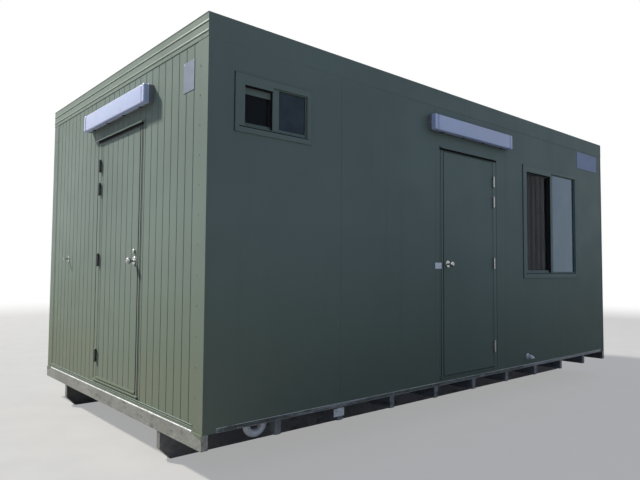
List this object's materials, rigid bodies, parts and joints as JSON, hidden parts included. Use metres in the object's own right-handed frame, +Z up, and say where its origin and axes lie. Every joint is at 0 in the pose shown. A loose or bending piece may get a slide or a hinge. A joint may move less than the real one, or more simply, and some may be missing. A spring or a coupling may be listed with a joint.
{
  "type": "portable site cabin",
  "caption": "Portable site cabin on two steel skids, with grooved end walls, flat long walls, a hinged door in the front and in one end, and sliding windows.",
  "frame": {"origin": "on the ground under the middle of the whole cabin, lights and caps included", "axes": "+X runs along the long wall away from the end with a door, the front wall with the other door faces -Y, and +Z is up"},
  "size_m": [6.09, 3.415, 3.071],
  "materials": {
    "frame_steel": "galvanised channel, dull and scuffed",
    "galvanised": "galvanised steel, dull and spangled",
    "floor_board": "boarded floor",
    "wall_paint": "sage green coated sheet, satin",
    "roof_sheet": "pale coated ribbed sheet",
    "door_frame_paint": "sage green coated aluminium, satin",
    "hinge_steel": "zinc plated, dulled",
    "chrome": "polished, lightly worn",
    "light_base": "grey moulded base",
    "light_diffuser": "opal ribbed cover",
    "window_frame_paint": "sage green coated aluminium, satin",
    "glass": "clear float glass, faintly green",
    "blind": "stiff woven-look slats, pale grey",
    "plate": "pale coated plate, blank",
    "white_pvc": "white pipe, slightly dusty"
  },
  "bodies": {
    "cabin": {"skids": "frame_steel", "end_channels": "galvanised", "floor_joists": "galvanised", "floor_deck": "floor_board", "front_wall_left": "wall_paint", "front_wall_over_door": "wall_paint", "front_wall_right": "wall_paint", "rear_wall": "wall_paint", "left_wall_front": "wall_paint", "left_wall_rear": "wall_paint", "left_wall_over_door": "wall_paint", "right_wall": "wall_paint", "roof_panel": "roof_sheet", "cap_front": "wall_paint", "cap_rear": "wall_paint", "cap_left": "wall_paint", "cap_right": "wall_paint", "corner_flashings": "wall_paint", "side_base_strips": "galvanised", "end_base_strips": "wall_paint", "front_door_frame": "door_frame_paint", "end_door_frame": "door_frame_paint", "hinge_jamb_halves": "hinge_steel", "door_head_flashings": "door_frame_paint", "light_bases": "light_base", "light_diffusers": "light_diffuser", "large_window_frame": "window_frame_paint", "small_window_frame": "window_frame_paint", "window_panes": "glass", "blind_rail": "blind", "blind_vanes": "blind", "sign_plates": "plate", "lock_guard_plate": "plate", "door_hold_back": "hinge_steel", "waste_bend": "white_pvc", "drain_spout": "white_pvc"},
    "front_door": {"front_door_leaf": "wall_paint", "front_hinge_leaves": "hinge_steel", "front_knob_roses": "chrome"},
    "end_door": {"end_door_leaf": "wall_paint", "end_hinge_leaves": "hinge_steel", "end_knob_roses": "chrome", "end_deadlock": "chrome"},
    "front_knob": {"front_door_knob": "chrome"},
    "end_knob": {"end_door_knob": "chrome"}
  },
  "joints": [
    {"name": "front_door_hinge", "type": "hinge", "parent": "cabin", "child": "front_door", "pos_m": [0.3975, -1.6405, 1.4475], "axis": [0, 0, 1], "range_deg": [0, 170]},
    {"name": "end_door_hinge", "type": "hinge", "parent": "cabin", "child": "end_door", "pos_m": [-2.978, 0.269, 1.4475], "axis": [0, 0, -1], "range_deg": [0, 170]},
    {"name": "front_knob_turn", "type": "hinge", "parent": "front_door", "child": "front_knob", "pos_m": [-0.382, -1.6255, 1.43], "axis": [0, -1, 0], "range_deg": [-50, 50], "stiffness_Nm_per_rad": 0.3},
    {"name": "end_knob_turn", "type": "hinge", "parent": "end_door", "child": "end_knob", "pos_m": [-2.963, -0.5105, 1.43], "axis": [-1, 0, 0], "range_deg": [-50, 50], "stiffness_Nm_per_rad": 0.3}
  ]
}
